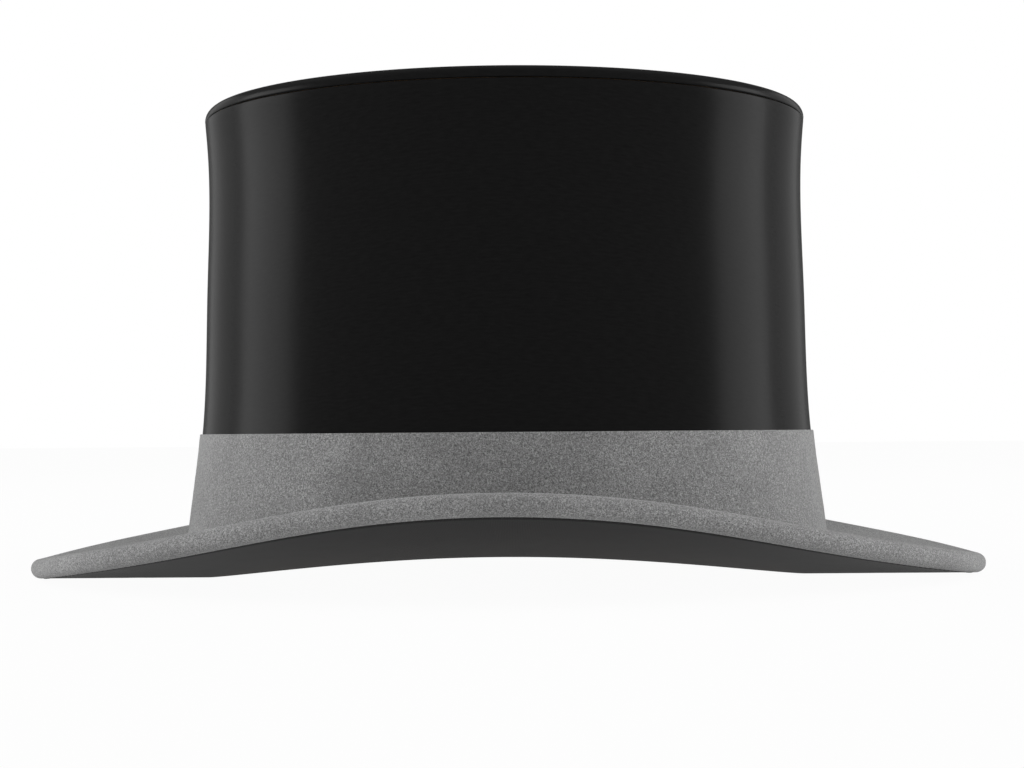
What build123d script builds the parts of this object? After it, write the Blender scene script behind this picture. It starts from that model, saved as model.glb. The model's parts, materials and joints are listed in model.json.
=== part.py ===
"""A silk top hat with an arched felt-covered brim, as separate layers and trims.

+X is the wearer's front, +Y the wearer's left and +Z up.  The origin is in the middle of the
plane that the hat stands on, where the front and the back of the brim touch it.  All sizes are
in millimetres.
"""
from build123d import *
from math import cos, hypot, pi, sin
import os

# ---------------------------------------------------------------- driving dimensions
# Crown: an oval tube whose sides draw in to a waist below the tip.
crown_height = 154.9  # top of the plush on the tip, above the standing plane
tip_half_length = 100.8
waist_half_length = 99.6
waist_drop = 15.5  # below the tip
middle_half_length = 100.2
middle_height = 94.0
band_half_length = 102.1  # plush at the top edge of the band
base_half_length = 108.1  # plush, carried down to the standing plane
oval_difference = 16.0  # half-length less half-width, the same at every height
tip_round = 3.8  # rounding of the crown's top edge
tip_seam_drop = 3.9  # seam between the tip's plush and the side's plush

# Crown layers, from the outside in.
plush_thickness = 0.8
shell_thickness = 1.6
lining_thickness = 0.4
wadding_thickness = 2.0
lining_cord_radius = 0.8
join_strip_thickness = 1.0
join_strip_height = 30.0  # its flat top edge
lining_start = 30.6  # lower edge of the side lining, above the join strip
glue_line = 0.1  # clearance between layers that are glued to each other
seam_gap = 0.15  # between two edges that butt at a seam

# Hat band.
band_height = 47.7  # its top edge, which lies in one level plane
band_thickness = 0.7
band_seam_gap = 0.4  # its two ends, butted on the wearer's left

# Brim: an oval slab with a full round edge, bent up along both sides.  Its width is measured
# from the edge of the head opening to the middle of the round edge.
brim_front_width = 55.0
brim_side_width = 32.0
brim_width_terms = (0.69, 1.2)  # how the width passes from the front to the sides
brim_thickness = 6.44
cover_thickness = 1.1
wrap_lap = 1.3  # felt carried past the round edge on to the underside
edge_cord_width = 4.2
arch_rise = 11.25  # rise of the brim at the sides of the head opening
arch_terms = (1.356, -0.928, 0.572)  # square, cube and fourth-power shares, which add to one
opening_half_length = 101.0
opening_half_width = 85.0
wire_width = 2.0
wire_thickness = 0.7
joiner_width = 2.8
joiner_thickness = 1.5
joiner_length = 12.0
wire_end_gap = 0.8
wire_clearance = 0.05

# Sweatband, measured from the edge of the head opening (outwards is positive).
leather_thickness = 0.9
reed_radius = 0.9
reed_tape_thickness = 0.35
reed_tape_height = 12.0
reed_tape_lift = 1.0
fold_height = 7.0  # back leg of the fold that holds the reed
sweatband_height = 46.0
sweatband_lift = 0.4  # of the fold above the underside of the brim
sweatband_top_inset = 3.8  # inner face at the top edge
sweatband_end_gap = 1.0
seam_tab_width = 14.0
seam_tab_thickness = 0.4
seam_tab_bottom = 12.0
seam_tab_top = 42.0
bow_width = 16.0
bow_height = 7.0
bow_depth = 2.2
bow_middle_height = 33.0
bow_waist = 3.0
bow_standoff = 0.6  # of its flat back off the middle of the curved leather
ticket_width = 12.0
ticket_height = 8.0
ticket_thickness = 0.2
ticket_bottom = 62.0

# ---------------------------------------------------------------- derived values
half_thickness = brim_thickness / 2
core_half_thickness = half_thickness - cover_thickness - glue_line
shell_inset = plush_thickness + glue_line
inner_inset = shell_inset + shell_thickness + glue_line
shell_underside = crown_height - shell_inset - shell_thickness
wadding_top = shell_underside - glue_line
tip_lining_top = wadding_top - wadding_thickness - glue_line
tip_lining_underside = tip_lining_top - lining_thickness
lining_inner_inset = inner_inset + lining_thickness
waist_height = crown_height - waist_drop
slot_width = wire_width + 2 * wire_clearance
slot_thickness = wire_thickness + 2 * wire_clearance
far = 4 * opening_half_length  # longer than any piece, for cutting tools
below = -20.0  # lower than any piece, for cutting tools
ring_stations = 32  # upright sections that each brim ring is lofted through
quarter_stations = 6  # steps that each round rod is lofted through in a quarter of the hat
bend_handle = 0.5523  # handle length of a curve that follows a quarter circle, over its radius
tool_reach = 20.0  # each side of the opening's edge, past every layer of the crown
base_slope = (base_half_length - band_half_length) / band_height


# ---------------------------------------------------------------- shapes used by several pieces
def arch_height(y):
    """Height of the brim's bend above its lowest line, at a distance y from the middle."""
    share = abs(y) / opening_half_width
    return arch_rise * sum(term * share ** (2 + i) for i, term in enumerate(arch_terms))


def arch_slope(y):
    """Slope of the bend at y, rising towards the left and the right of the hat."""
    share = abs(y) / opening_half_width
    slope = sum(term * (2 + i) * share ** (1 + i) for i, term in enumerate(arch_terms))
    return slope * arch_rise / opening_half_width * (1 if y >= 0 else -1)


def opening_plane(angle):
    """Upright plane across the edge of the head opening, its x pointing outwards."""
    x = opening_half_length * cos(angle)
    y = opening_half_width * sin(angle)
    nx, ny = cos(angle) / opening_half_length, sin(angle) / opening_half_width
    length = hypot(nx, ny)
    return Plane(origin=(x, y, 0), x_dir=(nx / length, ny / length, 0), z_dir=(ny / length, -nx / length, 0))


def brim_width(angle):
    """Distance from the edge of the head opening to the middle of the brim's round edge."""
    front, side = cos(angle) ** 2, sin(angle) ** 2
    first, second = brim_width_terms
    narrowing = side * (1 + first * front + second * front**2)
    return brim_front_width + (brim_side_width - brim_front_width) * narrowing


def brim_middle(angle, u):
    """Height and slope of the middle of the brim's thickness, u outwards from the opening."""
    plane = opening_plane(angle)
    y = plane.origin.Y + u * plane.x_dir.Y
    return half_thickness + arch_height(y), arch_slope(y) * plane.x_dir.Y


def brim_point(angle, u, lift):
    """Point of a brim section, u outwards from the opening and lift off the middle."""
    height, slope = brim_middle(angle, u)
    length = hypot(1, slope)
    return (u - lift * slope / length, height + lift / length)


def brim_curve(angle, lift, start, end):
    """Part of a layer's boundary in a brim section, with the bend's own slope at both ends."""
    reach = (end - start) / 3
    first, last = brim_point(angle, start, lift), brim_point(angle, end, lift)
    leave = (first[0] + reach, first[1] + reach * brim_middle(angle, start)[1])
    arrive = (last[0] - reach, last[1] - reach * brim_middle(angle, end)[1])
    return Bezier(first, leave, arrive, last)


def quarter_bend(start, middle, end):
    """A quarter of a circle from start to end, about the given middle."""
    start, middle, end = Vector(*start), Vector(*middle), Vector(*end)
    return Bezier(start, start + (end - middle) * bend_handle, end + (start - middle) * bend_handle, end)


def half_bend(start, middle, outermost):
    """Half a circle about the given middle, from start past outermost."""
    end = (2 * middle[0] - start[0], 2 * middle[1] - start[1])
    quarter_bend(start, middle, outermost)
    quarter_bend(outermost, middle, end)


def round_edge(angle, radius):
    """Half circle round the brim's edge, from the upper face to the lower one."""
    width = brim_width(angle)
    height, slope = brim_middle(angle, width)
    length = hypot(1, slope)
    outermost = (width + radius / length, height + radius * slope / length)
    half_bend(brim_point(angle, width, radius), (width, height), outermost)


def ring(draw_section):
    """A closed ring round the hat, lofted through upright sections that start at the back."""
    sections = []
    for i in range(ring_stations):
        angle = pi + 2 * pi * i / ring_stations
        with BuildSketch(opening_plane(angle)) as section:
            with BuildLine():
                draw_section(angle)
            make_face()
        sections.append(section.sketch.faces()[0])
    with BuildPart() as piece:
        loft(sections=sections + sections[:1], clean=False)
    return piece.part


def below_brim(lift):
    """Everything under one boundary of the brim near the crown, to cut what stands on it."""

    def section(angle):
        top = brim_curve(angle, lift, -tool_reach, tool_reach)
        Polyline(top @ 0, ((top @ 0).X, below), ((top @ 1).X, below), top @ 1)

    return ring(section)


def rod(middle, radius):
    """A closed round rod, whose middle passes through the point middle(angle) of each section.

    It is lofted a little past one quarter of the hat, cut to that quarter and mirrored twice.
    """
    with BuildPart() as piece:
        for i in range(-1, quarter_stations + 2):
            angle = i * pi / 2 / quarter_stations
            with BuildSketch(opening_plane(angle)):
                with Locations(middle(angle)):
                    Circle(radius)
        loft(clean=False)
        split(bisect_by=Plane.XZ, keep=Keep.BOTTOM)
        split(bisect_by=Plane.YZ, keep=Keep.TOP)
        mirror(about=Plane.XZ)
        mirror(about=Plane.YZ)
    return piece.part


def rim_bar(width, thickness):
    """A closed flat bar along the middle of the brim's round edge."""

    def section(angle):
        middle = brim_width(angle)
        sides = ((1, 1), (-1, 1), (-1, -1), (1, -1))
        corners = [brim_point(angle, middle + out * width / 2, up * thickness / 2) for out, up in sides]
        Polyline(*corners, close=True)

    return ring(section)


def oval_prism(growth, bottom, top):
    """The head opening's oval, grown by an amount, between two heights."""
    with BuildPart() as prism:
        with BuildSketch(Plane.XY.offset(bottom)):
            Ellipse(opening_half_length + growth, opening_half_width + growth)
        extrude(amount=top - bottom)
    return prism.part


def crown_form(inset):
    """The crown's solid form, inset all over, with its rounded top edge."""
    stations = (
        (below, base_half_length - base_slope * below),
        (0, base_half_length),
        (band_height / 2, (base_half_length + band_half_length) / 2),
        (band_height, band_half_length),
        (middle_height, middle_half_length),
        (waist_height, waist_half_length),
        (crown_height - inset, tip_half_length),
    )
    with BuildPart() as form:
        for height, half_length in stations:
            with BuildSketch(Plane.XY.offset(height)):
                Ellipse(half_length - inset, half_length - oval_difference - inset)
        loft()
        if tip_round - inset > glue_line:
            fillet(form.edges().group_by(Axis.Z)[-1], radius=tip_round - inset)
    return form.part


def level_slab(bottom, top):
    """A wide level block between two heights, to keep part of a form."""
    with BuildPart() as slab:
        with BuildSketch(Plane.XY.offset(bottom)):
            Rectangle(far, far)
        extrude(amount=top - bottom)
    return slab.part


def back_block(width, bottom, top):
    """A block across the middle of the back, width wide."""
    with BuildPart() as block:
        with BuildSketch(Plane.XY.offset(bottom)):
            with Locations((-far / 4, 0)):
                Rectangle(far / 2, width)
        extrude(amount=top - bottom)
    return block.part


# ---------------------------------------------------------------- crown
plush_form = crown_form(0)
plush_inner_form = crown_form(plush_thickness)
shell_form = crown_form(shell_inset)
shell_inner_form = crown_form(shell_inset + shell_thickness)
lining_form = crown_form(inner_inset)
lining_inner_form = crown_form(lining_inner_inset)
board_top_tool = below_brim(core_half_thickness + glue_line)
brim_top_tool = below_brim(half_thickness + glue_line)
seam_height = crown_height - tip_seam_drop

with BuildPart() as tip_cover:
    add(plush_form, clean=False)
    add(plush_inner_form, mode=Mode.SUBTRACT, clean=False)
    add(level_slab(seam_height, crown_height + 1), mode=Mode.INTERSECT, clean=False)
tip_cover.part.label = "tip_cover"

with BuildPart() as side_cover:
    add(plush_form, clean=False)
    add(plush_inner_form, mode=Mode.SUBTRACT, clean=False)
    add(level_slab(below, seam_height - seam_gap), mode=Mode.INTERSECT, clean=False)
    add(board_top_tool, mode=Mode.SUBTRACT, clean=False)
side_cover.part.label = "side_cover"

with BuildPart() as side_crown_shell:
    add(shell_form, clean=False)
    add(shell_inner_form, mode=Mode.SUBTRACT, clean=False)
    add(level_slab(below, shell_underside - glue_line), mode=Mode.INTERSECT, clean=False)
    add(board_top_tool, mode=Mode.SUBTRACT, clean=False)
side_crown_shell.part.label = "side_crown_shell"

with BuildPart() as tip_shell:
    add(shell_form, clean=False)
    add(level_slab(shell_underside, crown_height), mode=Mode.INTERSECT, clean=False)
tip_shell.part.label = "tip_shell"

with BuildPart() as tip_wadding:
    add(lining_inner_form, clean=False)
    add(level_slab(wadding_top - wadding_thickness, wadding_top), mode=Mode.INTERSECT, clean=False)
tip_wadding.part.label = "tip_wadding"

with BuildPart() as tip_lining:
    add(lining_inner_form, clean=False)
    add(level_slab(tip_lining_underside, tip_lining_top), mode=Mode.INTERSECT, clean=False)
tip_lining.part.label = "tip_lining"

with BuildPart() as side_lining:
    add(lining_form, clean=False)
    add(lining_inner_form, mode=Mode.SUBTRACT, clean=False)
    add(level_slab(lining_start, wadding_top), mode=Mode.INTERSECT, clean=False)
side_lining.part.label = "side_lining"

cord_inset = lining_inner_inset + lining_cord_radius + glue_line
cord_height = tip_lining_underside - lining_cord_radius - glue_line
tip_drop_share = (crown_height - cord_height) / waist_drop
cord_half_length = tip_half_length + (waist_half_length - tip_half_length) * tip_drop_share - cord_inset
with BuildPart() as tip_lining_cord:
    with BuildLine(Plane.XY.offset(cord_height)):
        cord_half_width = cord_half_length - oval_difference
        cord_line = EllipticalCenterArc((0, 0), cord_half_length, cord_half_width, arc_size=360)
    with BuildSketch(Plane(origin=cord_line @ 0, z_dir=cord_line % 0)):
        Circle(lining_cord_radius)
    sweep()
tip_lining_cord.part.label = "tip_lining_cord"

with BuildPart() as brim_join_strip:
    add(lining_form, clean=False)
    add(crown_form(inner_inset + join_strip_thickness), mode=Mode.SUBTRACT, clean=False)
    add(level_slab(below, join_strip_height), mode=Mode.INTERSECT, clean=False)
    add(board_top_tool, mode=Mode.SUBTRACT, clean=False)
brim_join_strip.part.label = "brim_join_strip"

with BuildPart() as hat_band:
    add(crown_form(-glue_line - band_thickness), clean=False)
    add(crown_form(-glue_line), mode=Mode.SUBTRACT, clean=False)
    add(level_slab(below, band_height), mode=Mode.INTERSECT, clean=False)
    add(brim_top_tool, mode=Mode.SUBTRACT, clean=False)
    with Locations((0, far / 4, 0)):
        Box(band_seam_gap, far / 2, crown_height, mode=Mode.SUBTRACT)
hat_band.part.label = "hat_band"

# ---------------------------------------------------------------- brim
def board_section(angle):
    start, end = cover_thickness + glue_line, brim_width(angle) - edge_cord_width
    top = brim_curve(angle, core_half_thickness, start, end)
    bottom = brim_curve(angle, -core_half_thickness, start, end)
    Line(top @ 0, bottom @ 0)
    Line(top @ 1, bottom @ 1)


def edge_cord_section(angle):
    start, end = brim_width(angle) - edge_cord_width + glue_line, brim_width(angle)
    top = brim_curve(angle, core_half_thickness, start, end)
    bottom = brim_curve(angle, -core_half_thickness, start, end)
    round_edge(angle, core_half_thickness)
    Line(top @ 0, bottom @ 0)


def under_cover_section(angle):
    """The silk under the brim, turned up round the edge of the head opening."""
    end = brim_width(angle) - wrap_lap - seam_gap
    inner_lift = cover_thickness - half_thickness
    low = brim_curve(angle, -half_thickness, 0, end)
    high = brim_curve(angle, inner_lift, cover_thickness, end)
    Line(low @ 1, high @ 1)
    corner_top = brim_point(angle, cover_thickness, core_half_thickness)
    edge_top = brim_point(angle, 0, core_half_thickness)
    Polyline(high @ 0, corner_top, edge_top, low @ 0)


def top_cover_section(angle):
    """The felt on top of the brim, wrapped round the edge and a little way under it."""
    end = brim_width(angle)
    inner_half = half_thickness - cover_thickness
    top = brim_curve(angle, half_thickness, 0, end)
    round_edge(angle, half_thickness)
    bottom = brim_curve(angle, -half_thickness, end - wrap_lap, end)
    inner_bottom = brim_curve(angle, -inner_half, end - wrap_lap, end)
    round_edge(angle, inner_half)
    inner_top = brim_curve(angle, inner_half, 0, end)
    Line(top @ 0, inner_top @ 0)
    Line(bottom @ 0, inner_bottom @ 0)


with BuildPart() as brim_board:
    add(ring(board_section), clean=False)
brim_board.part.label = "brim_board"

with BuildPart() as edge_cord:
    add(ring(edge_cord_section), clean=False)
    add(rim_bar(slot_width, slot_thickness), mode=Mode.SUBTRACT, clean=False)
    pocket = rim_bar(joiner_width + 2 * wire_clearance, joiner_thickness + 2 * wire_clearance)
    pocket_length = joiner_length + wire_end_gap
    add(pocket & back_block(pocket_length, below, crown_height), mode=Mode.SUBTRACT, clean=False)
edge_cord.part.label = "edge_cord"

with BuildPart() as brim_wire:
    add(rim_bar(wire_width, wire_thickness), clean=False)
    add(back_block(wire_end_gap, below, crown_height), mode=Mode.SUBTRACT, clean=False)
brim_wire.part.label = "brim_wire"

with BuildPart() as wire_joiner:
    add(rim_bar(joiner_width, joiner_thickness), clean=False)
    add(rim_bar(slot_width, slot_thickness), mode=Mode.SUBTRACT, clean=False)
    add(back_block(joiner_length, below, crown_height), mode=Mode.INTERSECT, clean=False)
wire_joiner.part.label = "wire_joiner"

with BuildPart() as brim_under_cover:
    add(ring(under_cover_section), clean=False)
brim_under_cover.part.label = "brim_under_cover"

with BuildPart() as brim_top_cover:
    add(ring(top_cover_section), clean=False)
    add(crown_form(-glue_line), mode=Mode.SUBTRACT, clean=False)
brim_top_cover.part.label = "brim_top_cover"

# ---------------------------------------------------------------- sweatband
fold_radius = reed_radius + glue_line + leather_thickness
fold_inner_radius = reed_radius + glue_line
tape_outer = -glue_line
tape_inner = tape_outer - reed_tape_thickness
fold_middle = tape_inner - glue_line - fold_radius


def fold_height_at(angle):
    """Height of the middle of the sweatband's fold, which follows the bend of the brim."""
    return arch_height(opening_half_width * sin(angle)) + sweatband_lift + fold_radius


def sweatband_section(angle):
    """Leather folded round the reed, with a short back leg and a tall front leg."""
    middle = fold_height_at(angle)
    top = middle - fold_radius + sweatband_height
    back_top = (fold_middle + fold_radius, middle + fold_height)
    back_low = (fold_middle + fold_radius, middle)
    front_low = (fold_middle - fold_radius, middle)
    front_top = (-sweatband_top_inset, top)
    rear_top = (leather_thickness - sweatband_top_inset, top)
    rear_low = (fold_middle - fold_inner_radius, middle)
    inner_low = (fold_middle + fold_inner_radius, middle)
    inner_top = (fold_middle + fold_inner_radius, middle + fold_height)
    Line(back_top, back_low)
    half_bend(back_low, (fold_middle, middle), (fold_middle, middle - fold_radius))
    Polyline(front_low, front_top, rear_top, rear_low)
    half_bend(rear_low, (fold_middle, middle), (fold_middle, middle - fold_inner_radius))
    Polyline(inner_low, inner_top, back_top)


def reed_tape_section(angle):
    low = arch_height(opening_half_width * sin(angle)) + sweatband_lift + reed_tape_lift
    high = low + reed_tape_height
    Polyline((tape_outer, low), (tape_outer, high), (tape_inner, high), (tape_inner, low), close=True)


with BuildPart() as sweatband:
    add(ring(sweatband_section), clean=False)
    add(back_block(sweatband_end_gap, below, crown_height), mode=Mode.SUBTRACT, clean=False)
sweatband.part.label = "sweatband"

with BuildPart() as sweatband_reed:
    add(rod(lambda angle: (fold_middle, fold_height_at(angle)), reed_radius), clean=False)
    add(back_block(sweatband_end_gap, below, crown_height), mode=Mode.SUBTRACT, clean=False)
sweatband_reed.part.label = "sweatband_reed"

with BuildPart() as reed_tape:
    add(ring(reed_tape_section), clean=False)
reed_tape.part.label = "reed_tape"

tab_inner = leather_thickness + glue_line - sweatband_top_inset
with BuildPart() as sweatband_seam_tab:
    add(oval_prism(tab_inner + seam_tab_thickness, seam_tab_bottom, seam_tab_top), clean=False)
    add(oval_prism(tab_inner, seam_tab_bottom, seam_tab_top), mode=Mode.SUBTRACT, clean=False)
    add(back_block(seam_tab_width, below, crown_height), mode=Mode.INTERSECT, clean=False)
sweatband_seam_tab.part.label = "sweatband_seam_tab"

# The bow lies flat on the leather: two loops and a knot, cut from one outline.
bow_back = -opening_half_length - fold_middle + fold_radius + bow_standoff
with BuildPart() as sweatband_bow:
    with BuildSketch(Plane.YZ.offset(bow_back)):
        with BuildLine():
            loop_top = (bow_width / 2, bow_middle_height + bow_height / 2)
            loop_low = (bow_width / 2, bow_middle_height - bow_height / 2)
            waist_top = (0, bow_middle_height + bow_waist / 2)
            waist_low = (0, bow_middle_height - bow_waist / 2)
            Polyline(waist_top, loop_top, loop_low, waist_low)
            mirror(about=Plane.YZ)
        make_face()
    extrude(amount=bow_depth)
sweatband_bow.part.label = "sweatband_bow"

ticket_outer_inset = lining_inner_inset + glue_line
ticket_inner_inset = ticket_outer_inset + ticket_thickness
with BuildPart() as size_ticket:
    add(crown_form(ticket_outer_inset), clean=False)
    add(crown_form(ticket_inner_inset), mode=Mode.SUBTRACT, clean=False)
    ticket_block = back_block(ticket_width, ticket_bottom, ticket_bottom + ticket_height)
    add(ticket_block, mode=Mode.INTERSECT, clean=False)
size_ticket.part.label = "size_ticket"

# ---------------------------------------------------------------- write each piece
pieces = (
    tip_cover,
    side_cover,
    side_crown_shell,
    tip_shell,
    tip_wadding,
    tip_lining,
    side_lining,
    tip_lining_cord,
    brim_join_strip,
    hat_band,
    brim_board,
    edge_cord,
    brim_wire,
    wire_joiner,
    brim_under_cover,
    brim_top_cover,
    sweatband,
    sweatband_reed,
    reed_tape,
    sweatband_seam_tab,
    sweatband_bow,
    size_ticket,
)
os.makedirs("parts", exist_ok=True)
for piece in pieces:
    export_step(piece.part, f"parts/{piece.part.label}.step")
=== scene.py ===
"""Looks of a silk top hat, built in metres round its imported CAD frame.

The shapes follow the same formulas as the CAD part: an oval crown drawn through a few heights,
and a brim whose upright sections stand square to the edge of the head opening.  Lengths are
written in millimetres and turned into metres where a mesh is made.
"""

import json
from math import cos, floor, hypot, pi, radians, sin

import bmesh
import bpy
import numpy as np
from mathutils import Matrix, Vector, noise


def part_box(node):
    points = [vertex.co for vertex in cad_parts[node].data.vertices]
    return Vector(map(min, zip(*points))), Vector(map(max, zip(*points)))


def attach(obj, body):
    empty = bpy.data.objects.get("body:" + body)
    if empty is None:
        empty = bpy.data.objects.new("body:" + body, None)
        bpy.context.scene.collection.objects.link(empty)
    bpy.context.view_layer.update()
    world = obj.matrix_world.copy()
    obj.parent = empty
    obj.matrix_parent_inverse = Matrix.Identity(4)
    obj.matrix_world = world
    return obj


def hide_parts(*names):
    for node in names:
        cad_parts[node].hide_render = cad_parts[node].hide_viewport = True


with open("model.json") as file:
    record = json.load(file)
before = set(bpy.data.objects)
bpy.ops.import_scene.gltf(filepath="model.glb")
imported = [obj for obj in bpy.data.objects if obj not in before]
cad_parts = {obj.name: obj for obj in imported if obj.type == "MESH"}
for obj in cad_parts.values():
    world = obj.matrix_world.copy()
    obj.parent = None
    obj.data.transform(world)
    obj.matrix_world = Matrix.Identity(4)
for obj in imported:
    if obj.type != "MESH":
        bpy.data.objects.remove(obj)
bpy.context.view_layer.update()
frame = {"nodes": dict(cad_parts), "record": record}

MM = 0.001
COLUMNS = 384  # upright sections round the hat

# ---------------------------------------------------------------- sizes, in millimetres
CROWN_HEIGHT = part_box("tip_cover")[1].z / MM
TIP_SEAM_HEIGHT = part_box("tip_cover")[0].z / MM
BAND_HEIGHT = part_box("hat_band")[1].z / MM
OVAL_DIFFERENCE = 16.0
TIP_ROUND = 3.8
PLUSH = 0.8
FELT = 1.1
BRIM_THICKNESS = 6.44
HALF_BRIM = BRIM_THICKNESS / 2
WRAP_LAP = 1.3
OPENING_LENGTH, OPENING_WIDTH = 101.0, 85.0
FRONT_WIDTH, SIDE_WIDTH = 55.0, 32.0
WIDTH_TERMS = (0.69, 1.2)
ARCH_RISE = 11.25
ARCH_TERMS = (1.356, -0.928, 0.572)
GLUE = 0.1
CROWN_STATIONS = (
    (-20.0, 110.62),
    (0.0, 108.1),
    (BAND_HEIGHT / 2, 105.1),
    (BAND_HEIGHT, 102.1),
    (94.0, 100.2),
    (CROWN_HEIGHT - 15.5, 99.6),
    (CROWN_HEIGHT, 100.8),
)


# ---------------------------------------------------------------- shared shapes
def spline_slopes(stations):
    """Slopes of the smooth curve through the stations, straight at its lower end."""
    count = len(stations)
    matrix, right = np.zeros((count, count)), np.zeros(count)
    for i in range(1, count - 1):
        before = stations[i][0] - stations[i - 1][0]
        after = stations[i + 1][0] - stations[i][0]
        matrix[i, i - 1 : i + 2] = after, 2 * (before + after), before
        rise_before = (stations[i][1] - stations[i - 1][1]) / before
        rise_after = (stations[i + 1][1] - stations[i][1]) / after
        right[i] = 3 * (after * rise_before + before * rise_after)
    matrix[0, :2] = 2, 1
    right[0] = 3 * (stations[1][1] - stations[0][1]) / (stations[1][0] - stations[0][0])
    matrix[-1, -2:] = 1, 2
    right[-1] = 3 * (stations[-1][1] - stations[-2][1]) / (stations[-1][0] - stations[-2][0])
    return np.linalg.solve(matrix, right)


CROWN_SLOPES = spline_slopes(CROWN_STATIONS)


def crown_half_length(height):
    """Half the length of the plush's outer face at a height."""
    for i in range(len(CROWN_STATIONS) - 1):
        (low, start), (high, end) = CROWN_STATIONS[i], CROWN_STATIONS[i + 1]
        if height <= high:
            break
    span = high - low
    t = (height - low) / span
    start_slope, end_slope = CROWN_SLOPES[i] * span, CROWN_SLOPES[i + 1] * span
    value = start * (2 * t**3 - 3 * t**2 + 1) + start_slope * (t**3 - 2 * t**2 + t)
    return value + end * (3 * t**2 - 2 * t**3) + end_slope * (t**3 - t**2)


def crown_point(angle, height, inset):
    """Point of the crown's wall, inset from the plush's outer face."""
    half = crown_half_length(height) - inset
    return (half * cos(angle), (half - OVAL_DIFFERENCE) * sin(angle), height)


def arch_height(y):
    """How far the middle of the brim has risen at a distance y from the hat's middle plane."""
    share = abs(y) / OPENING_WIDTH
    return ARCH_RISE * sum(term * share ** (2 + i) for i, term in enumerate(ARCH_TERMS))


def arch_slope(y):
    """Slope of the brim's rise, going outwards along +Y."""
    share = abs(y) / OPENING_WIDTH
    slope = sum(term * (2 + i) * share ** (1 + i) for i, term in enumerate(ARCH_TERMS))
    return slope * ARCH_RISE / OPENING_WIDTH * (1 if y >= 0 else -1)


def opening_edge(angle):
    """Point of the head opening's edge and its outward direction."""
    nx, ny = cos(angle) / OPENING_LENGTH, sin(angle) / OPENING_WIDTH
    length = hypot(nx, ny)
    return OPENING_LENGTH * cos(angle), OPENING_WIDTH * sin(angle), nx / length, ny / length


def section_point(angle, u, height):
    """Point u outwards from the edge of the head opening, at a height."""
    x, y, nx, ny = opening_edge(angle)
    return (x + u * nx, y + u * ny, height)


def brim_width(angle):
    """Distance from the edge of the head opening to the middle of the brim's round edge."""
    front, side = cos(angle) ** 2, sin(angle) ** 2
    first, second = WIDTH_TERMS
    return FRONT_WIDTH + (SIDE_WIDTH - FRONT_WIDTH) * side * (1 + first * front + second * front**2)


def brim_point(angle, u, lift):
    """Point of the brim, u outwards from the opening and lift off the middle of its thickness."""
    x, y, nx, ny = opening_edge(angle)
    slope = arch_slope(y + u * ny) * ny
    length = hypot(1, slope)
    height = HALF_BRIM + arch_height(y + u * ny) + lift / length
    return section_point(angle, u - lift * slope / length, height)


def edge_point(angle, turn, radius):
    """Point of the brim's round edge; turn goes from 0 on top to pi underneath."""
    width = brim_width(angle)
    x, y, nx, ny = opening_edge(angle)
    slope = arch_slope(y + width * ny) * ny
    length = hypot(1, slope)
    out, up = sin(turn) * radius, cos(turn) * radius
    height = HALF_BRIM + arch_height(y + width * ny)
    return section_point(angle, width + (out - up * slope) / length, height + (up + out * slope) / length)


def crown_reach(angle, inset):
    """How far out from the opening the crown's wall meets the top of the brim."""
    low, high = -5.0, 20.0
    for _ in range(24):
        middle = (low + high) / 2
        x, y, z = brim_point(angle, middle, HALF_BRIM)
        half = crown_half_length(z) - inset
        inside = (x / half) ** 2 + (y / (half - OVAL_DIFFERENCE)) ** 2 < 1
        low, high = (middle, high) if inside else (low, middle)
    return low


def mix(start, end, share):
    return start + (end - start) * share


def steps(count):
    """Shares from 0 to 1, both included."""
    return [i / count for i in range(count + 1)]


def smooth_step(share):
    share = min(max(share, 0.0), 1.0)
    return share * share * (3 - 2 * share)


# ---------------------------------------------------------------- meshes
def make_piece(name, points, faces, uvs, material, replaces=()):
    """A smooth mesh piece from points in millimetres, riding on the hat's one body."""
    mesh = bpy.data.meshes.new(name)
    mesh.from_pydata([(x * MM, y * MM, z * MM) for x, y, z in points], [], faces)
    turned = bmesh.new()
    turned.from_mesh(mesh)
    bmesh.ops.recalc_face_normals(turned, faces=turned.faces)
    turned.to_mesh(mesh)
    turned.free()
    if uvs:
        layer = mesh.uv_layers.new(name="lay")
        corner_points = np.zeros(len(mesh.loops), np.int32)
        mesh.loops.foreach_get("vertex_index", corner_points)
        layer.data.foreach_set("uv", np.array(uvs, np.float32)[corner_points].ravel())
    mesh.polygons.foreach_set("use_smooth", [True] * len(mesh.polygons))
    mesh.materials.append(material)
    piece = bpy.data.objects.new(name, mesh)
    bpy.context.scene.collection.objects.link(piece)
    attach(piece, "root")
    if replaces:
        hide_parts(*replaces)
    return piece


def grid_faces(columns, rows, wrap_columns, wrap_rows, first=0):
    """Four-sided faces of a grid of points stored column by column."""
    faces = []
    for i in range(columns if wrap_columns else columns - 1):
        for j in range(rows if wrap_rows else rows - 1):
            near, far = first + i * rows, first + (i + 1) % columns * rows
            following = (j + 1) % rows
            faces.append((near + j, far + j, far + following, near + following))
    return faces


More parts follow.
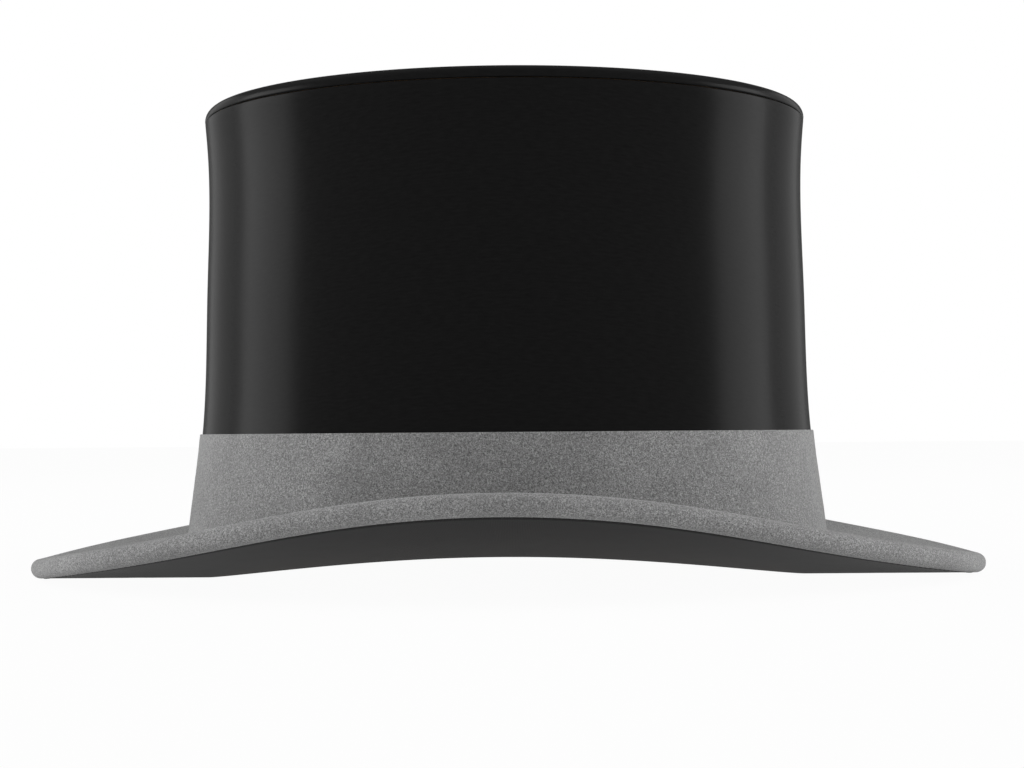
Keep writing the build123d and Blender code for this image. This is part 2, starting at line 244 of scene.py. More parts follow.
def ring_piece(name, section, material, replaces=(), angles=None, disc=False):
    """A band round the hat. section(angle) gives the loop of points cut across it.

    For a disc, section(angle) goes from the middle of one side over the rim to the middle of
    the other.
    """
    closed = angles is None
    angles = angles or [2 * pi * i / COLUMNS for i in range(COLUMNS)]
    loops = [section(angle) for angle in angles]
    rows = len(loops[0])
    points = [point for loop in loops for point in loop]
    faces = grid_faces(len(loops), rows, closed, not disc)
    if disc:
        faces += [tuple(i * rows + j for i in range(len(loops))) for j in (0, rows - 1)]
    elif not closed:
        faces += [tuple(first * rows + j for j in range(rows)) for first in (0, len(loops) - 1)]
    uvs = []
    for i, loop in enumerate(loops):
        run = 0.0
        for j, point in enumerate(loop):
            run += (Vector(point) - Vector(loop[j - 1])).length if j else 0.0
            uvs.append((angles[i] * 95 * MM, run * MM))
    return make_piece(name, points, faces, uvs, material, replaces)


def tubes(name, paths, radius, material, sides=6):
    """Many short round threads, each through its own list of points."""
    points, faces = [], []
    for path in paths:
        path = [Vector(p) for p in path]
        first = len(points)
        for i, middle in enumerate(path):
            along = (path[min(i + 1, len(path) - 1)] - path[max(i - 1, 0)]).normalized()
            side = along.orthogonal().normalized()
            up = along.cross(side)
            size = radius * (0.45 if i in (0, len(path) - 1) else 1.0)
            for k in range(sides):
                turn = 2 * pi * k / sides
                points.append(tuple(middle + (side * cos(turn) + up * sin(turn)) * size))
        faces += grid_faces(len(path), sides, False, True, first)
        faces += [tuple(first + k for k in range(sides))[::-1]]
        last = first + (len(path) - 1) * sides
        faces += [tuple(last + k for k in range(sides))]
    return make_piece(name, points, faces, [], material)


# ---------------------------------------------------------------- materials
class Shader:
    """Short ways to wire one material's nodes."""

    def __init__(self, name, use_lay=False):
        self.material = bpy.data.materials.new(name)
        self.material.use_nodes = True
        self.tree = self.material.node_tree
        self.surface = self.tree.nodes["Principled BSDF"]
        place = self.tree.nodes.new("ShaderNodeTexCoord")
        self.place = place.outputs["UV" if use_lay else "Object"]
        self.height = None

    def put(self, **values):
        for key, value in values.items():
            self.surface.inputs[key.replace("_", " ")].default_value = value

    def link(self, source, target):
        self.tree.links.new(source, target)

    def noise(self, scale, detail=2.0, stretch=(1, 1, 1)):
        mapping = self.tree.nodes.new("ShaderNodeMapping")
        mapping.inputs["Scale"].default_value = stretch
        texture = self.tree.nodes.new("ShaderNodeTexNoise")
        texture.inputs["Scale"].default_value = scale
        texture.inputs["Detail"].default_value = detail
        self.link(self.place, mapping.inputs["Vector"])
        self.link(mapping.outputs["Vector"], texture.inputs["Vector"])
        return texture.outputs["Fac"]

    def wave(self, scale, direction, distortion=0.0, detail_scale=1.0):
        texture = self.tree.nodes.new("ShaderNodeTexWave")
        texture.bands_direction = direction
        texture.inputs["Scale"].default_value = scale
        texture.inputs["Distortion"].default_value = distortion
        texture.inputs["Detail Scale"].default_value = detail_scale
        self.link(self.place, texture.inputs["Vector"])
        return texture.outputs["Fac"]

    def spread(self, value, low, high, new_low, new_high):
        node = self.tree.nodes.new("ShaderNodeMapRange")
        node.inputs["From Min"].default_value = low
        node.inputs["From Max"].default_value = high
        node.inputs["To Min"].default_value = new_low
        node.inputs["To Max"].default_value = new_high
        self.link(value, node.inputs["Value"])
        return node.outputs["Result"]

    def combine(self, first, second, kind="MULTIPLY"):
        node = self.tree.nodes.new("ShaderNodeMath")
        node.operation = kind
        self.link(first, node.inputs[0])
        self.link(second, node.inputs[1])
        return node.outputs["Value"]

    def colour(self, value, dark, light):
        ramp = self.tree.nodes.new("ShaderNodeMix")
        ramp.data_type = "RGBA"
        ramp.inputs["A"].default_value = (*dark, 1)
        ramp.inputs["B"].default_value = (*light, 1)
        self.link(value, ramp.inputs["Factor"])
        self.link(ramp.outputs["Result"], self.surface.inputs["Base Color"])

    def bump(self, value, depth_mm, strength=1.0):
        node = self.tree.nodes.new("ShaderNodeBump")
        node.inputs["Distance"].default_value = depth_mm * MM
        node.inputs["Strength"].default_value = strength
        self.link(value, node.inputs["Height"])
        if self.height is not None:
            self.link(self.height, node.inputs["Normal"])
        self.height = node.outputs["Normal"]
        self.link(self.height, self.surface.inputs["Normal"])


def grey(value):
    return (value, value, value)


def plush_material():
    """Black silk plush, brushed round the crown: a soft gloss over fine lying hair."""
    shader = Shader("crown_plush", use_lay=True)
    hair = shader.noise(900, 3, (0.35, 1.6, 1))
    grain = shader.noise(2600, 2)
    patches = shader.noise(22, 3)
    shader.colour(hair, grey(0.005), grey(0.012))
    uneven = shader.spread(patches, 0.3, 0.7, 0.94, 1.06)
    fine = shader.spread(grain, 0.3, 0.7, 0.20, 0.25)
    shader.link(shader.combine(uneven, fine), shader.surface.inputs["Roughness"])
    shader.bump(hair, 0.035, 0.5)
    shader.bump(grain, 0.02, 0.5)
    shader.put(Specular_IOR_Level=0.048, Sheen_Weight=0.01, Sheen_Roughness=0.4)
    return shader.material


def felt_material(name, dark, light):
    """Grey wool felt: matted fibres in every direction, slightly mottled."""
    shader = Shader(name)
    fibres = shader.noise(3000, 4)
    clumps = shader.noise(1300, 3)
    patches = shader.noise(45, 3)
    fine, coarse = shader.spread(fibres, 0.3, 0.7, 0, 1), shader.spread(clumps, 0.3, 0.7, 0.55, 1.25)
    mixed = shader.combine(fine, coarse)
    mixed = shader.combine(mixed, shader.spread(patches, 0.3, 0.7, 0.85, 1.15))
    shader.colour(mixed, grey(dark), grey(light))
    shader.bump(clumps, 0.25, 0.5)
    shader.bump(fibres, 0.12, 0.6)
    shader.put(Roughness=0.95, Specular_IOR_Level=0.15, Sheen_Weight=0.25, Sheen_Roughness=0.6)
    return shader.material


def woven_material(name, dark, light, scale, roughness, gloss, depth=0.05):
    """Plain-woven cloth: warp over weft, with uneven threads."""
    shader = Shader(name, use_lay=True)
    warp = shader.wave(scale, "X", 0.6)
    weft = shader.wave(scale * 0.9, "Y", 0.6)
    weave = shader.combine(warp, weft, "MULTIPLY")
    slub = shader.noise(260, 3)
    tone = shader.combine(shader.spread(weave, 0, 1, 0.35, 1.0), shader.spread(slub, 0.3, 0.7, 0.7, 1.2))
    shader.colour(tone, dark, light)
    shader.bump(weave, depth, 0.6)
    shader.bump(slub, 0.06, 0.4)
    shader.put(Roughness=roughness, Specular_IOR_Level=gloss, Sheen_Weight=0.1, Sheen_Roughness=0.5)
    return shader.material


def leather_material():
    """Tan glazed sweatband leather with fine creases and darker handling marks."""
    shader = Shader("band_leather")
    cells = shader.tree.nodes.new("ShaderNodeTexVoronoi")
    cells.inputs["Scale"].default_value = 1400
    cells.feature = "DISTANCE_TO_EDGE"
    shader.link(shader.place, cells.inputs["Vector"])
    marks = shader.noise(38, 4)
    fine = shader.noise(700, 3)
    stain = shader.spread(marks, 0.3, 0.75, 0.15, 1.0)
    tone = shader.combine(stain, shader.spread(fine, 0.3, 0.7, 0.85, 1.1))
    shader.colour(tone, (0.17, 0.075, 0.03), (0.36, 0.19, 0.085))
    shader.bump(shader.spread(cells.outputs["Distance"], 0, 0.12, 0, 1), 0.06, 0.5)
    shader.bump(marks, 0.25, 0.3)
    shader.link(shader.spread(marks, 0.3, 0.7, 0.5, 0.34), shader.surface.inputs["Roughness"])
    shader.put(Specular_IOR_Level=0.5)
    return shader.material


def grained_material(name, dark, light, scale, roughness, depth, metal=0.0, stretch=(1, 1, 1)):
    """A hard or fibrous stuff with one grain, for the inner pieces."""
    shader = Shader(name)
    grain = shader.noise(scale, 4, stretch)
    marks = shader.noise(scale / 12, 3)
    shader.colour(shader.combine(grain, shader.spread(marks, 0.3, 0.7, 0.6, 1.4)), dark, light)
    shader.bump(grain, depth, 0.6)
    shader.put(Roughness=roughness, Metallic=metal)
    return shader.material


def cloth_board_material():
    """Shellacked cotton cloth: coarse open weave under brown varnish."""
    shader = Shader("shellac_cloth")
    warp = shader.wave(320, "X", 0.8)
    weft = shader.wave(320, "Y", 0.8)
    rise = shader.wave(320, "Z", 0.8)
    weave = shader.combine(shader.combine(warp, weft), rise, "ADD")
    pools = shader.noise(60, 3)
    tone = shader.combine(shader.spread(weave, 0, 2, 0.5, 1.1), shader.spread(pools, 0.3, 0.7, 0.5, 1.1))
    shader.colour(tone, (0.16, 0.075, 0.025), (0.42, 0.25, 0.11))
    shader.bump(weave, 0.12, 0.6)
    shader.link(shader.spread(pools, 0.3, 0.7, 0.3, 0.6), shader.surface.inputs["Roughness"])
    return shader.material


PLUSH_BLACK = plush_material()
GREY_FELT = felt_material("grey_felt", 0.08, 0.48)
UNDER_SILK = woven_material("under_silk", grey(0.002), grey(0.008), 900, 0.36, 0.32)
SATIN = woven_material("satin_lining", (0.50, 0.46, 0.38), (0.72, 0.68, 0.60), 700, 0.34, 0.5, 0.03)
GROSGRAIN = woven_material("grosgrain", grey(0.008), grey(0.03), 420, 0.6, 0.3, 0.15)
LEATHER = leather_material()
SHELLAC = cloth_board_material()
WADDING = grained_material("cotton_wadding", grey(0.55), grey(0.85), 500, 0.95, 0.4)
CORD = grained_material("cotton_cord", (0.38, 0.33, 0.26), (0.66, 0.60, 0.50), 900, 0.85, 0.1)
STEEL = grained_material("steel_wire", grey(0.42), grey(0.62), 900, 0.35, 0.02, 1.0, (1, 1, 6))
BRASS = grained_material("brass", (0.52, 0.36, 0.13), (0.80, 0.62, 0.30), 500, 0.3, 0.02, 1.0)
REED = grained_material("reed", (0.50, 0.42, 0.26), (0.80, 0.72, 0.52), 400, 0.4, 0.05)
PAPER = grained_material("paper", (0.70, 0.66, 0.56), (0.86, 0.83, 0.75), 900, 0.8, 0.03)
THREAD = grained_material("dark_thread", (0.01, 0.01, 0.01), (0.035, 0.035, 0.035), 2500, 0.7, 0.05)
TAN_THREAD = grained_material("tan_thread", (0.42, 0.30, 0.16), (0.66, 0.52, 0.32), 2500, 0.7, 0.05)

BY_SLOT = {
    "crown_plush": PLUSH_BLACK,
    "grey_felt": GREY_FELT,
    "under_silk": UNDER_SILK,
    "shellac_cloth": SHELLAC,
    "satin_lining": SATIN,
    "cotton_wadding": WADDING,
    "cotton_cord": CORD,
    "steel_wire": STEEL,
    "brass": BRASS,
    "band_leather": LEATHER,
    "reed": REED,
    "grosgrain": GROSGRAIN,
    "paper": PAPER,
}


def dress_cad_nodes():
    """Gives every CAD node that stays the finish of its own slot."""
    for row in frame["record"]["subparts"]:
        node = frame["nodes"][row["node"]]
        node.data.materials.clear()
        node.data.materials.append(BY_SLOT[row["material_slot"]])


# ---------------------------------------------------------------- crown
def fuzz(point, scale, size):
    """A small uneven swelling at a point, the same on every run."""
    return size * noise.noise(Vector(point) * scale)


def plush_side():
    """The plush round the crown, its top edge turned in at the seam."""
    top = TIP_SEAM_HEIGHT - 0.15
    turn_in = 0.45

    def section(angle):
        start = brim_point(angle, crown_reach(angle, 0), HALF_BRIM)[2] + GLUE
        outer = []
        for share in steps(60):
            height = mix(start, top - turn_in, share)
            outer.append(crown_point(angle, height, 0))
        for share in steps(4)[1:]:
            turn = share * pi / 2
            height = top - turn_in + turn_in * sin(turn)
            outer.append(crown_point(angle, height, turn_in * (1 - cos(turn))))
        inner = [crown_point(angle, mix(top, start, share), PLUSH) for share in steps(12)]
        return outer + inner

    return ring_piece("plush_side", section, PLUSH_BLACK, ["side_cover"])


def plush_tip():
    """The plush over the tip: turned in at the seam, rounded over the edge and flat on top."""
    bottom = TIP_SEAM_HEIGHT
    turn_in = 0.45
    round_start = CROWN_HEIGHT - TIP_ROUND

    def profile(angle, inset):
        points = []
        if inset == 0:
            for share in steps(4)[:-1]:
                turn = (1 - share) * pi / 2
                height = bottom + turn_in * (1 - sin(turn))
                points.append(crown_point(angle, height, turn_in * (1 - cos(turn))))
        else:
            points.append(crown_point(angle, bottom, inset))
        for share in steps(12):
            turn = share * pi / 2
            height = round_start + (TIP_ROUND - inset) * sin(turn)
            shift = inset + (TIP_ROUND - inset) * (1 - cos(turn))
            points.append(crown_point(angle, max(height, bottom + turn_in), shift))
        edge_x, edge_y, edge_z = points[-1]
        for share in steps(14)[1:]:
            points.append((edge_x * (1 - share * 0.995), edge_y * (1 - share * 0.995), edge_z))
        return points

    def section(angle):
        return profile(angle, 0)[::-1] + profile(angle, PLUSH)

    return ring_piece("plush_tip", section, PLUSH_BLACK, ["tip_cover"], disc=True)


def band():
    """The felt band, with softly rounded edges and its ends butted on the wearer's left."""
    thickness = 0.7
    soft = 0.3
    half_gap = 0.2 / OPENING_WIDTH
    angles = [pi / 2 + half_gap + (2 * pi - 2 * half_gap) * i / COLUMNS for i in range(COLUMNS + 1)]

    def section(angle):
        start = brim_point(angle, crown_reach(angle, -GLUE), HALF_BRIM)[2] + GLUE
        outer = []
        for share in steps(26):
            height = mix(start, BAND_HEIGHT - soft, share)
            point = crown_point(angle, height, -GLUE - thickness)
            outer.append(crown_point(angle, height, -GLUE - thickness - fuzz(point, 0.35, 0.07)))
        for share in steps(4)[1:]:
            turn = share * pi / 2
            inset = -GLUE - thickness + soft * (1 - cos(turn))
            outer.append(crown_point(angle, BAND_HEIGHT - soft + soft * sin(turn), inset))
        inner = [crown_point(angle, mix(BAND_HEIGHT, start, share), -GLUE) for share in steps(6)]
        return outer + inner

    return ring_piece("felt_band", section, GREY_FELT, ["hat_band"], angles)


def band_seam_stitches():
    """Small slip stitches that close the band's butted ends on the wearer's left."""
    start, end, pitch = 22.0, BAND_HEIGHT - 2.0, 2.6
    paths = []
    for i in range(floor((end - start) / pitch)):
        height = start + i * pitch
        path = []
        for share in steps(4):
            lift = 0.12 * sin(share * pi) - 0.02
            angle = pi / 2 + mix(-1.0, 1.0, share) / OPENING_WIDTH
            path.append(crown_point(angle, height + share * 0.9, -GLUE - 0.72 - lift))
        paths.append(path)
    return tubes("band_seam_stitches", paths, 0.13, GREY_FELT)


# ---------------------------------------------------------------- brim
def felt_brim():
    """The felt on the brim, wrapped round the edge and a little way under it."""
    inner_half = HALF_BRIM - FELT

    def section(angle):
        width, start = brim_width(angle), crown_reach(angle, -GLUE)
        loop = []
        for share in steps(30)[:-1]:
            u = mix(start, width, share)
            lump = fuzz(brim_point(angle, u, HALF_BRIM), 0.3, 0.06) * smooth_step(share * 6)
            loop.append(brim_point(angle, u, HALF_BRIM + lump))
        for share in steps(18):
            lump = fuzz(edge_point(angle, share * pi, HALF_BRIM), 0.3, 0.06)
            loop.append(edge_point(angle, share * pi, HALF_BRIM + lump * sin(share * pi)))
        loop.append(brim_point(angle, width - WRAP_LAP * 0.8, -HALF_BRIM))
        loop.append(brim_point(angle, width - WRAP_LAP, -HALF_BRIM + 0.25))
        loop.append(brim_point(angle, width - WRAP_LAP, -inner_half))
        for share in steps(8):
            loop.append(edge_point(angle, pi - share * pi, inner_half))
        for share in steps(10)[1:]:
            loop.append(brim_point(angle, mix(width, start, share), inner_half))
        return loop

    return ring_piece("felt_brim", section, GREY_FELT, ["brim_top_cover"])


def silk_underside():
    """The silk under the brim, turned up round the edge of the head opening."""
    seam_gap = 0.15
    corner = 0.5

    def section(angle):
        end = brim_width(angle) - WRAP_LAP - seam_gap
        top_lift = HALF_BRIM - FELT - GLUE
        loop = [brim_point(angle, 0, top_lift), brim_point(angle, 0, 0)]
        for share in steps(5):
            turn = share * pi / 2
            u, lift = corner * (1 - cos(turn)), -HALF_BRIM + corner * (1 - sin(turn))
            loop.append(brim_point(angle, u, lift))
        for share in steps(34)[1:]:
            u = mix(corner, end - 0.25, share)
            lump = fuzz(brim_point(angle, u, -HALF_BRIM), 0.12, 0.05) * sin(share * pi)
            loop.append(brim_point(angle, u, -HALF_BRIM + abs(lump)))
        loop.append(brim_point(angle, end, -HALF_BRIM + 0.25))
        loop += [brim_point(angle, mix(end, FELT, share), -HALF_BRIM + FELT) for share in steps(8)]
        loop.append(brim_point(angle, FELT, top_lift))
        return loop

    return ring_piece("silk_underside", section, UNDER_SILK, ["brim_under_cover"])


def edge_seam_stitches():
    """Fine slip stitches where the felt's wrapped edge meets the silk."""
    count = 300
    paths = []
    for i in range(count):
        angle = 2 * pi * i / count
        reach = 0.8 / (OPENING_LENGTH + 35)
        path = []
        for share in steps(3):
            u = brim_width(angle) - WRAP_LAP - 0.5 + 0.9 * share
            lift = -HALF_BRIM - 0.05 * sin(share * pi)
            path.append(brim_point(angle + share * reach, u, lift))
        paths.append(path)
    return tubes("edge_seam_stitches", paths, 0.09, THREAD, 5)


# ---------------------------------------------------------------- inside
FOLD_RADIUS = 1.9
FOLD_INNER = 1.0
FOLD_MIDDLE = -2.45
LEATHER_THICKNESS = 0.9
FOLD_LEG = 7.0  # height of the fold's back leg
SWEATBAND_HEIGHT = 46.0
SWEATBAND_TOP = -3.8
BACK_GAP = 1.0


def fold_height(angle):
    """Height of the middle of the sweatband's fold."""
    return arch_height(OPENING_WIDTH * sin(angle)) + 0.4 + FOLD_RADIUS


def back_open_angles(gap):
    """Angles of the upright sections, from one side of a gap at the back to the other."""
    half = gap / 2 / OPENING_WIDTH
    return [pi + half + (2 * pi - 2 * half) * i / COLUMNS for i in range(COLUMNS + 1)]


def leather_face(angle, share):
    """Point of the sweatband's inner face, from the fold at 0 to the top edge at 1."""
    middle = fold_height(angle)
    top = middle - FOLD_RADIUS + SWEATBAND_HEIGHT
    u = mix(FOLD_MIDDLE - FOLD_RADIUS, SWEATBAND_TOP, share) - 0.25 * sin(share * pi)
    return u, mix(middle, top, share)


def leather_band():
    """The sweatband: leather folded round the reed, with a skived and slightly wavy top edge."""

    def section(angle):
        middle = fold_height(angle)
        sway = fuzz((cos(angle) * 3, sin(angle) * 3, 0.7), 1.0, 0.5)
        outside, inside = FOLD_MIDDLE + FOLD_RADIUS, FOLD_MIDDLE + FOLD_INNER
        loop = [section_point(angle, outside, middle + FOLD_LEG * (1 - share)) for share in steps(3)]
        for share in steps(10)[1:]:
            turn = share * pi
            u, height = FOLD_MIDDLE + FOLD_RADIUS * cos(turn), middle - FOLD_RADIUS * sin(turn)
            loop.append(section_point(angle, u, height))
        for share in steps(24)[1:]:
            u, height = leather_face(angle, share)
            pressed = 0.18 * (1 - smooth_step(abs(share - 0.955) / 0.02))
            loop.append(section_point(angle, u + sway * share**2 * 0.6 + pressed, height))
        for share in steps(12):
            u, height = leather_face(angle, 1 - share)
            thickness = mix(LEATHER_THICKNESS * 0.6, LEATHER_THICKNESS, smooth_step(share * 4))
            loop.append(section_point(angle, u + thickness + sway * (1 - share) ** 2 * 0.6, height))
        for share in steps(8)[1:]:
            turn = pi - share * pi
            u, height = FOLD_MIDDLE + FOLD_INNER * cos(turn), middle - FOLD_INNER * sin(turn)
            loop.append(section_point(angle, u, height))
        loop += [section_point(angle, inside, middle + FOLD_LEG * share) for share in steps(3)[1:]]
        return loop

    angles = back_open_angles(BACK_GAP)
    return ring_piece("leather_band", section, LEATHER, ["sweatband"], angles)


def sweatband_stitches():
    """A zigzag of thread that closes the leather's fold over the reed."""
    count = 300
    paths = []
    for i in range(count):
        angle = pi + 0.02 + (2 * pi - 0.04) * i / count
        following = angle + (2 * pi - 0.04) / count
        low, high = (0.075, 0.115) if i % 2 else (0.115, 0.075)
        path = []
        for share in steps(4):
            place = mix(angle, following, share)
            u, height = leather_face(place, mix(low, high, share))
            path.append(section_point(place, u - 0.12 * sin(share * pi) + 0.04, height))
        paths.append(path)
    return tubes("sweatband_stitches", paths, 0.14, TAN_THREAD, 6)


def satin_wall():
    """The satin round the inside of the crown, gathered into soft folds towards the tip."""
    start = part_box("side_lining")[0].z / MM
    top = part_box("side_lining")[1].z / MM
    inset, thickness = 2.6, 0.3

    def fold(angle, share):
        wander = fuzz((cos(angle) * 4, sin(angle) * 4, share), 1.3, 1.6)
        gather = 0.5 + 0.5 * sin(64 * angle + wander * 2)
        broad = 0.5 + 0.5 * noise.noise(Vector((cos(angle) * 3.1, sin(angle) * 3.1, share * 2.0)))
        return gather * 0.55 * smooth_step(share * 1.4 - 0.2) + broad * 0.8 * sin(share * pi)

    def section(angle):
        inner, outer = [], []
        for share in steps(40):
            height = mix(start, top, share)
            shift = inset + 0.1 + fold(angle, share)
            inner.append(crown_point(angle, height, shift + thickness))
            outer.append(crown_point(angle, height, shift))
        return outer + inner[::-1]

    return ring_piece("satin_wall", section, SATIN, ["side_lining"])


def satin_tip():
    """The satin under the tip: a shallow padded oval, puckered where it is drawn in."""
    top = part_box("tip_lining")[1].z / MM
    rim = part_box("tip_lining")[1].x / MM - 0.6
    rings, thickness = 36, 0.35

    def surface(angle, share, lift):
        reach = 1 - share
        pucker = sin(72 * angle + 1.5 * noise.noise(Vector((cos(angle) * 4, sin(angle) * 4, 0))))
        sag = 0.35 * pucker * smooth_step((reach - 0.55) / 0.45) * smooth_step((1 - reach) * 20)
        dip = 0.9 * smooth_step(1 - reach) * (1 + 0.25 * noise.noise(Vector((angle, reach * 3, 0))))
        x = rim * reach * cos(angle)
        y = (rim - OVAL_DIFFERENCE) * reach * sin(angle)
        return (x, y, top - thickness * (1 - lift) - 0.3 - dip - sag - 0.2)

    def section(angle):
        shares = [share * 0.995 for share in steps(rings)]
        lower = [surface(angle, share, 0) for share in shares]
        upper = [surface(angle, share, 1) for share in shares[::-1]]
        return lower[::-1] + upper[::-1]

    return ring_piece("satin_tip", section, SATIN, ["tip_lining"], disc=True)


def piping():
    """The twisted cord that covers the join of the two linings."""
    low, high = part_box("tip_lining_cord")
    length, width = high.x / MM, high.y / MM
    middle = (low.z + high.z) / 2 / MM
    radius = (high.z - low.z) / 2 / MM
    columns, strands, turns = 900, 2, 150

    def section(angle):
        loop = []
        for k in range(10):
            turn = 2 * pi * k / 10
            bulge = radius * (0.82 + 0.16 * cos(strands * (turn - turns / strands * angle)))
            out, up = bulge * cos(turn), bulge * sin(turn)
            x, y = (length - radius + out) * cos(angle), (width - radius + out) * sin(angle)
            loop.append((x, y, middle + up))
        return loop

    angles = [2 * pi * i / columns for i in range(columns)]
    loops = [section(angle) for angle in angles]
    points = [point for loop in loops for point in loop]
    faces = grid_faces(columns, 10, True, True)
    uvs = [(angle * 90 * MM, k * 0.4 * MM) for angle in angles for k in range(10)]
    return make_piece("lining_piping", points, faces, uvs, CORD, ["tip_lining_cord"])


def ribbon_strip(path, low, high, thickness):
    """A ribbon on edge: path gives its line in plan, low and high its two edges there."""
    points, uvs = [], []
    run = 0.0
    for i, (x, y) in enumerate(path):
        before, after = Vector(path[max(i - 1, 0)]), Vector(path[min(i + 1, len(path) - 1)])
        along = (after - before).normalized()
        side = Vector((along.y, -along.x)) * thickness / 2
        run += (Vector((x, y)) - Vector(path[i - 1])).length if i else 0.0
        for px, py, z in (
            (x + side.x, y + side.y, low[i]),
            (x + side.x, y + side.y, high[i]),
            (x - side.x, y - side.y, high[i]),
            (x - side.x, y - side.y, low[i]),
        ):
            points.append((px, py, z))
            uvs.append((run * MM, z * MM))
    faces = grid_faces(len(path), 4, False, True)
    last = (len(path) - 1) * 4
    faces += [(3, 2, 1, 0), (last, last + 1, last + 2, last + 3)]
    return points, faces, uvs


def bow():
    """A small ribbon bow over the sweatband's butted ends: two loops, two tails and a knot."""
    low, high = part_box("sweatband_bow")
    back, front = low.x / MM, high.x / MM
    middle = (low.z + high.z) / 2 / MM
    half_width, half_height = high.y / MM, (high.z - low.z) / 2 / MM
    depth = front - back
    ribbon_thickness = 0.28
    strips = []
    for side in (-1, 1):
        loop, lows, highs = [], [], []
        for share in steps(28):
            turn = share * 2 * pi
            out = (1 - cos(turn)) / 2
            x = back + depth * (0.5 - 0.42 * sin(turn) * smooth_step(out * 2.5))
            loop.append((x, side * (0.4 + (half_width - 0.4) * out)))
            spread = mix(0.34, 0.96, smooth_step(out * 1.6)) * half_height
            droop = 0.35 * out
            lows.append(middle - spread - droop)
            highs.append(middle + spread - droop)
        strips.append((loop, lows, highs))
        tail, lows, highs = [], [], []
        for share in steps(10):
            tail.append((back + 0.3 + 0.25 * sin(share * 3), side * mix(0.5, half_width * 0.62, share)))
            drop = mix(0.5, 6.5, share)
            lows.append(middle - drop - mix(1.2, 2.4, share))
            highs.append(middle - drop + mix(1.2, 2.2, share))
        strips.append((tail, lows, highs))
    knot, lows, highs = [], [], []
    for share in steps(20):
        turn = -pi / 2 + share * 2 * pi
        knot.append((back + depth * (0.52 + 0.46 * cos(turn)), 1.5 * sin(turn)))
        lows.append(middle - half_height * 0.5)
        highs.append(middle + half_height * 0.5)
    strips.append((knot, lows, highs))
    points, faces, uvs = [], [], []
    for path, lows, highs in strips:
        more, more_faces, more_uvs = ribbon_strip(path, lows, highs, ribbon_thickness)
        faces += [tuple(len(points) + k for k in face) for face in more_faces]
        points += more
        uvs += more_uvs
    return make_piece("ribbon_bow", points, faces, uvs, GROSGRAIN, ["sweatband_bow"])


# ---------------------------------------------------------------- studio
def floor_material():
    """White paper that glows a little, and shows nothing from below."""
    material = bpy.data.materials.new("pale_floor")
    material.use_nodes = True
    tree = material.node_tree
    surface = tree.nodes["Principled BSDF"]
    surface.inputs["Base Color"].default_value = (0.85, 0.85, 0.85, 1)
    surface.inputs["Roughness"].default_value = 1.0
    surface.inputs["Specular IOR Level"].default_value = 0.0
    glow = tree.nodes.new("ShaderNodeEmission")
    ray = tree.nodes.new("ShaderNodeLightPath")
    share = tree.nodes.new("ShaderNodeMapRange")
    share.inputs["To Min"].default_value = 0.14
    share.inputs["To Max"].default_value = 0.96
    blend = tree.nodes.new("ShaderNodeMixShader")
    tree.links.new(ray.outputs["Is Camera Ray"], share.inputs["Value"])
    tree.links.new(share.outputs["Result"], blend.inputs["Fac"])
    tree.links.new(surface.outputs["BSDF"], blend.inputs[1])
    tree.links.new(glow.outputs["Emission"], blend.inputs[2])
    facing = tree.nodes.new("ShaderNodeNewGeometry")
    clear = tree.nodes.new("ShaderNodeBsdfTransparent")
    sided = tree.nodes.new("ShaderNodeMixShader")
    tree.links.new(facing.outputs["Backfacing"], sided.inputs["Fac"])
    tree.links.new(blend.outputs["Shader"], sided.inputs[1])
    tree.links.new(clear.outputs["BSDF"], sided.inputs[2])
    tree.links.new(sided.outputs["Shader"], tree.nodes["Material Output"].inputs["Surface"])
    return material


def studio_floor():
    """A plain pale floor that can be seen through from below."""
    half = 6.0
    mesh = bpy.data.meshes.new("floor")
    sides = ((-1, -1), (1, -1), (1, 1), (-1, 1))
    corners = [(half * x, half * y, -0.0002) for x, y in sides]
    mesh.from_pydata(corners, [], [(0, 1, 2, 3)])
    mesh.materials.append(floor_material())
    plane = bpy.data.objects.new("floor", mesh)
    bpy.context.scene.collection.objects.link(plane)


def softbox(name, azimuth, distance, height, width, tall, power):
    """A large soft light; azimuth turns from the photograph's side towards the front."""
    light = bpy.data.lights.new(name, "AREA")
    light.shape = "RECTANGLE"
    light.size, light.size_y = width, tall
    light.energy = power
    place = bpy.data.objects.new(name, light)
    place.location = (distance * sin(radians(azimuth)), -distance * cos(radians(azimuth)), height)
    aim = Vector((0, 0, 0.08)) - place.location
    place.rotation_euler = aim.to_track_quat("-Z", "Y").to_euler()
    place.visible_camera = False
    bpy.context.scene.collection.objects.link(place)


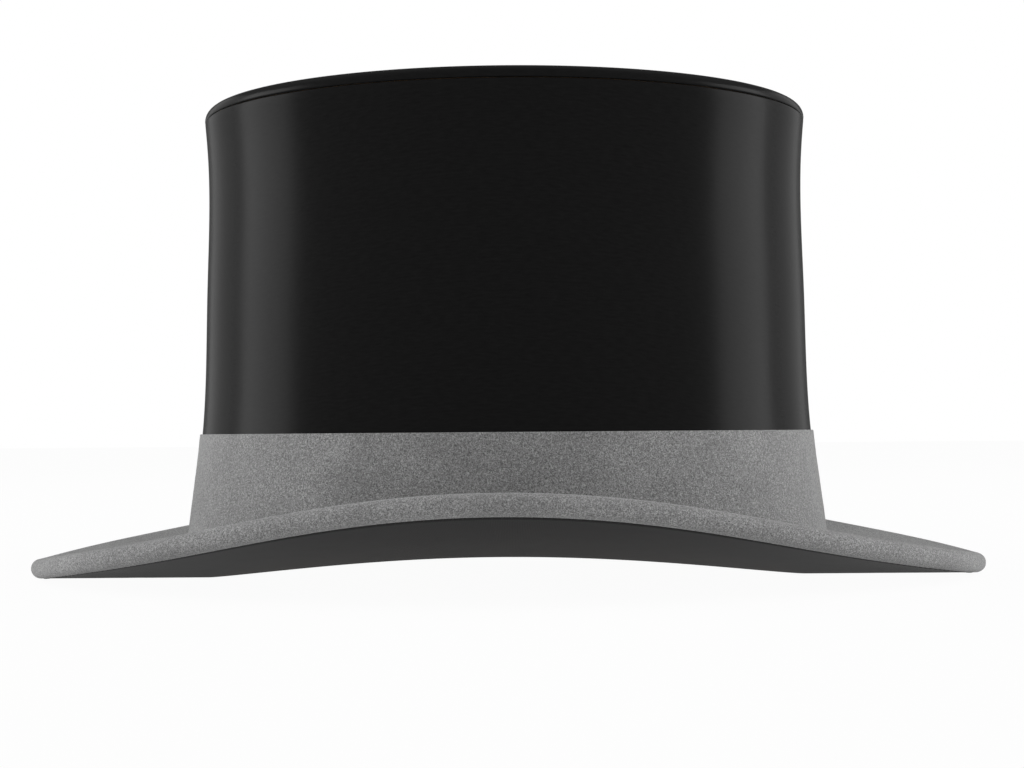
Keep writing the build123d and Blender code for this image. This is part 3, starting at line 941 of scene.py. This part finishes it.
def studio_world():
    """White all round for the camera; for the hat, soft light in front and dim light behind."""
    world = bpy.data.worlds.new("studio")
    world.use_nodes = True
    tree = world.node_tree
    background = tree.nodes["Background"]
    direction = tree.nodes.new("ShaderNodeTexCoord")
    parts = tree.nodes.new("ShaderNodeSeparateXYZ")
    behind = tree.nodes.new("ShaderNodeMapRange")
    behind.inputs["From Min"].default_value = 0.2
    behind.inputs["From Max"].default_value = 0.6
    behind.inputs["To Min"].default_value = 0.60
    behind.inputs["To Max"].default_value = 0.14
    ray = tree.nodes.new("ShaderNodeLightPath")
    strength = tree.nodes.new("ShaderNodeMath")
    strength.operation = "MAXIMUM"
    tree.links.new(direction.outputs["Generated"], parts.inputs["Vector"])
    tree.links.new(parts.outputs["Y"], behind.inputs["Value"])
    tree.links.new(behind.outputs["Result"], strength.inputs[0])
    tree.links.new(ray.outputs["Is Camera Ray"], strength.inputs[1])
    tree.links.new(strength.outputs["Value"], background.inputs["Strength"])
    background.inputs["Color"].default_value = (1, 1, 1, 1)
    bpy.context.scene.world = world


def studio_camera():
    """The photograph's view: level, from the hat's right, just above the brim."""
    distance, height, azimuth = 0.585, 0.0477, 0.78
    camera = bpy.data.objects.new("camera", bpy.data.cameras.new("camera"))
    camera.data.lens = 60.6
    camera.data.shift_x = 5.5 / 1024
    camera.data.shift_y = 48 / 1024
    camera.location = (distance * sin(radians(azimuth)), -distance * cos(radians(azimuth)), height)
    camera.rotation_euler = (radians(90), radians(0.444), radians(azimuth))
    bpy.context.scene.collection.objects.link(camera)
    bpy.context.scene.camera = camera


def build_hat():
    dress_cad_nodes()
    plush_side()
    plush_tip()
    band()
    band_seam_stitches()
    felt_brim()
    silk_underside()
    edge_seam_stitches()
    leather_band()
    sweatband_stitches()
    satin_wall()
    satin_tip()
    piping()
    bow()


def build_studio():
    studio_floor()
    studio_world()
    for side, name in ((-1, "left"), (1, "right")):
        softbox("softbox_" + name, side * 90, 1.5, 0.30, 0.80, 1.3, 14)
        softbox("softbox_back_" + name, side * 127, 1.5, 0.30, 1.00, 1.3, 2.6)
    studio_camera()
    bpy.context.scene.view_settings.view_transform = "Standard"


build_hat()
build_studio()
